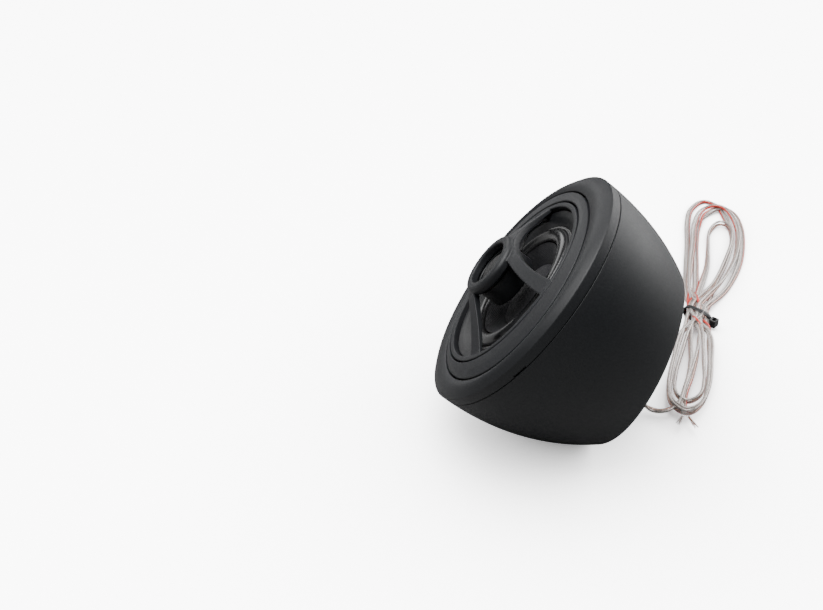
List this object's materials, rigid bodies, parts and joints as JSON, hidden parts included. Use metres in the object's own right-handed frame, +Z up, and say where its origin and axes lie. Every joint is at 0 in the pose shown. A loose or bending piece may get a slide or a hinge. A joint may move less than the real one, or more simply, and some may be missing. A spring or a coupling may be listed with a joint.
{
  "type": "car tweeter",
  "caption": "egg-shaped surface-mount speaker pod, with a dome tweeter on a curved bridge over a small cone driver, an oblique flat back and a tied twin lead",
  "frame": {"origin": "centre of the pod's footprint box at floor level, without the lead", "axes": "+Z up, +X across the face to the listener's right when facing the pod from -Y, -Y the way the face points; the pod's sound axis leans 38 degrees up from -Y"},
  "size_m": [0.2023, 0.1173, 0.0808],
  "materials": {
    "housing": "fine-grained moulded black plastic, satin matte",
    "bridge": "fine-grained moulded black plastic",
    "inner_plastic": "smooth moulded black plastic",
    "edge_roll": "glossy black rubber",
    "gasket": "matte black foam",
    "cone": "black woven cone, matte",
    "dome": "black woven dome with light doping",
    "spider_cloth": "impregnated cloth",
    "basket_paint": "black painted steel",
    "zinc_steel": "zinc-plated steel",
    "nickel": "nickel plate",
    "ferrite": "fired ceramic ferrite, dull dark grey",
    "former": "bare aluminium foil",
    "copper": "bare copper wire",
    "board": "brown phenolic board",
    "sleeve": "dark blue shrink sleeve",
    "red_wire": "red PVC",
    "clear_wire": "clear PVC over tinned copper",
    "black_wire": "black PVC",
    "grommet": "black rubber",
    "lead": "clear PVC twin lead, one conductor marked red",
    "nylon": "black nylon"
  },
  "bodies": {
    "pod": {"rear_shell": "housing", "front_bezel": "housing", "trim_flange": "housing", "grille_bridge": "bridge", "horn_ring": "inner_plastic", "surround_gasket": "gasket", "driver_surround": "edge_roll", "driver_basket": "basket_paint", "basket_screw_1": "zinc_steel", "basket_screw_2": "zinc_steel", "basket_screw_3": "zinc_steel", "basket_screw_4": "zinc_steel", "top_plate": "zinc_steel", "ring_magnet": "ferrite", "pole_yoke": "zinc_steel", "driver_spider": "spider_cloth", "dome_ring": "inner_plastic", "tweeter_pole_disc": "zinc_steel", "tweeter_magnet": "nickel", "tweeter_yoke": "zinc_steel", "tweeter_back_cap": "inner_plastic", "terminal_strip": "board", "terminal_minus": "nickel", "terminal_plus": "nickel", "crossover_capacitor": "sleeve", "inner_lead_red": "red_wire", "inner_lead_clear": "clear_wire", "tweeter_lead_left": "black_wire", "tweeter_lead_right": "black_wire", "cable_grommet": "grommet", "supply_lead": "lead", "lead_hank": "lead", "tie_band": "nylon", "tie_head": "nylon", "bare_end_red": "copper", "bare_end_clear": "nickel"},
    "cone_body": {"driver_cone": "cone", "dust_cap": "cone", "coil_former": "former", "voice_coil": "copper"},
    "dome_body": {"tweeter_dome": "dome", "tweeter_coil": "copper"}
  },
  "joints": [
    {"name": "cone_travel", "type": "slide", "parent": "pod", "child": "cone_body", "axis": [0, -0.788, 0.6157], "range_m": [-0.0008, 0.0008], "stiffness_N_per_m": 800},
    {"name": "dome_travel", "type": "slide", "parent": "pod", "child": "dome_body", "axis": [0, -0.788, 0.6157], "range_m": [-0.0003, 0.0003], "stiffness_N_per_m": 300}
  ]
}
